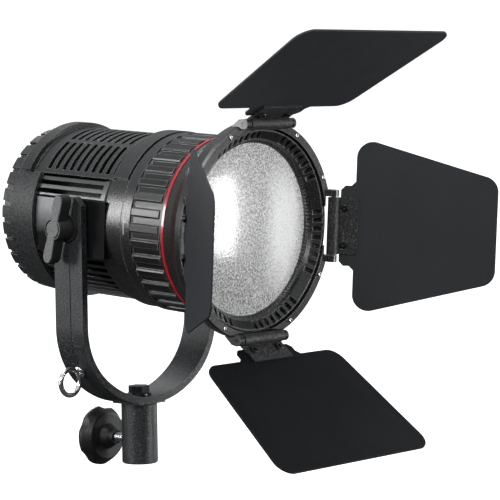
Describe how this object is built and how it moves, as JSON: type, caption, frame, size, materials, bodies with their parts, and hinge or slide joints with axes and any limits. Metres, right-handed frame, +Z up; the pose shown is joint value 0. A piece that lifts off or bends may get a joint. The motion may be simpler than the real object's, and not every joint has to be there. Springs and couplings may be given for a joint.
{
  "type": "fresnel spotlight",
  "caption": "Compact studio spotlight: round ribbed-focus lamp head with a stepped lens and hinged barn doors, held in a U yoke with a stand socket.",
  "frame": {"origin": "centre of the mouth of the stand socket's bore, at the foot of the yoke", "axes": "+Z up along the stand, the beam leaves towards -Y, the tilt axis runs along X with the locking lever at -X"},
  "size_m": [0.284, 0.2999, 0.2991],
  "materials": {
    "accent_red": "glossy red",
    "board_green": "solder resist",
    "body_black": "black anodised, satin",
    "bracket_black": "wrinkle paint",
    "brass": "turned",
    "chrome": "polished",
    "condenser_glass": "clear, polished",
    "door_black": "matte black paint",
    "knob_black": "moulded, textured",
    "led_yellow": "phosphor",
    "lens_glass": "frosted, stepped back",
    "lever_grey": "moulded, textured",
    "plastic_black": "moulded",
    "reflector_bright": "spun mirror",
    "rubber_black": "moulded, ribbed",
    "side_gloss": "polished black",
    "sink_metal": "extruded, clear anodised",
    "steel": "bright zinc",
    "steel_black": "black oxide",
    "window_glass": "smoked",
    "yoke_black": "fine textured powder coat"
  },
  "bodies": {
    "yoke": {"yoke": "yoke_black", "stand_socket": "yoke_black", "socket_bolt": "steel_black", "socket_washer": "steel_black", "eye_bolt": "chrome", "eye_nut": "chrome", "pivot_bolt": "steel_black", "friction_washers": "plastic_black"},
    "clamp": {"clamp_pad": "brass"},
    "lock_knob": {"lock_stem": "steel", "lock_knob": "knob_black"},
    "tilt_lever": {"tilt_lever": "lever_grey", "lever_cap": "lever_grey", "tilt_stud": "steel"},
    "head": {"rear_ring": "body_black", "rear_panel": "body_black", "display_window": "window_glass", "switch_bezel": "plastic_black", "power_inlet": "plastic_black", "panel_screws": "steel_black", "driver_board": "board_green", "fan_frame": "plastic_black", "heatsink": "sink_metal", "pivot_housing_left": "body_black", "pivot_housing_right": "body_black", "side_panel_left": "side_gloss", "side_panel_right": "side_gloss", "vent_cover": "body_black", "vent_mesh": "steel_black", "front_collar": "body_black", "focus_guide": "body_black", "led_module": "led_yellow", "led_reflector": "reflector_bright", "guide_rods": "steel", "accent_ring": "accent_red", "lens_barrel": "body_black", "fresnel_lens": "lens_glass", "lens_retainer": "body_black"},
    "fan_rotor": {"fan_rotor": "plastic_black"},
    "dimmer_knob": {"dimmer_knob": "knob_black"},
    "power_rocker": {"power_rocker": "plastic_black"},
    "focus_ring": {"focus_ring": "rubber_black"},
    "lens_carriage": {"lens_carriage": "body_black", "follower_pins": "brass", "condenser_lens": "condenser_glass"},
    "door_ring": {"barndoor_ring": "body_black", "hinge_pins": "steel_black", "ring_screws": "steel_black"},
    "door_top": {"door_top_leaf": "door_black", "door_top_bracket": "bracket_black", "door_top_screws": "steel_black"},
    "door_bottom": {"door_bottom_leaf": "door_black", "door_bottom_bracket": "bracket_black", "door_bottom_screws": "steel_black"},
    "door_left": {"door_left_leaf": "door_black", "door_left_bracket": "bracket_black", "door_left_screws": "steel_black"},
    "door_right": {"door_right_leaf": "door_black", "door_right_bracket": "bracket_black", "door_right_screws": "steel_black"}
  },
  "joints": [
    {"name": "tilt", "type": "hinge", "parent": "yoke", "child": "head", "pos_m": [0, 0, 0.1668], "axis": [-1, 0, 0], "range_deg": [-41.4, 93.6]},
    {"name": "clamp_slide", "type": "slide", "parent": "yoke", "child": "clamp", "axis": [0, -1, 0], "range_m": [0, 0.002]},
    {"name": "lock_turn", "type": "hinge", "parent": "clamp", "child": "lock_knob", "pos_m": [0, 0.03, 0.016], "axis": [0, -1, 0], "range_deg": [0, 720]},
    {"name": "lever_turn", "type": "hinge", "parent": "yoke", "child": "tilt_lever", "pos_m": [-0.07, 0, 0.1668], "axis": [-1, 0, 0], "range_deg": [-90, 90]},
    {"name": "focus_turn", "type": "hinge", "parent": "head", "child": "focus_ring", "pos_m": [0, -0.06619, 0.16775], "axis": [0, -0.998, -0.0628], "range_deg": [0, 120]},
    {"name": "carriage_slide", "type": "slide", "parent": "head", "child": "lens_carriage", "axis": [0, -0.998, -0.0628], "range_m": [0, 0.024]},
    {"name": "fan_spin", "type": "hinge", "parent": "head", "child": "fan_rotor", "pos_m": [0, 0.04759, 0.1749], "axis": [0, -0.998, -0.0628], "continuous": true},
    {"name": "dimmer_turn", "type": "hinge", "parent": "head", "child": "dimmer_knob", "pos_m": [0.036, 0.07653, 0.17672], "axis": [0, 0.998, 0.0628], "continuous": true},
    {"name": "switch_rock", "type": "hinge", "parent": "head", "child": "power_rocker", "pos_m": [-0.0345, 0.06954, 0.17629], "axis": [1, 0, 0], "range_deg": [-7, 7]},
    {"name": "ring_turn", "type": "hinge", "parent": "head", "child": "door_ring", "pos_m": [0, -0.1101, 0.16498], "axis": [0, -0.998, -0.0628], "continuous": true},
    {"name": "top_door_hinge", "type": "hinge", "parent": "door_ring", "child": "door_top", "pos_m": [0, -0.12217, 0.23567], "axis": [1, 0, 0], "range_deg": [-67.4, 108.6]},
    {"name": "bottom_door_hinge", "type": "hinge", "parent": "door_ring", "child": "door_bottom", "pos_m": [0, -0.11321, 0.09335], "axis": [1, 0, 0], "range_deg": [-111.8, 64.2]},
    {"name": "left_door_hinge", "type": "hinge", "parent": "door_ring", "child": "door_left", "pos_m": [-0.0713, -0.11769, 0.16451], "axis": [0, 0.0628, -0.998], "range_deg": [-126.8, 61.2]},
    {"name": "right_door_hinge", "type": "hinge", "parent": "door_ring", "child": "door_right", "pos_m": [0.0713, -0.11769, 0.16451], "axis": [0, 0.0628, -0.998], "range_deg": [-65.5, 122.5]}
  ],
  "couplings": [
    {"joint": "clamp_slide", "follows": "lock_turn", "m_per_rad": 0.00015915},
    {"joint": "carriage_slide", "follows": "focus_turn", "m_per_rad": 0.011459}
  ]
}
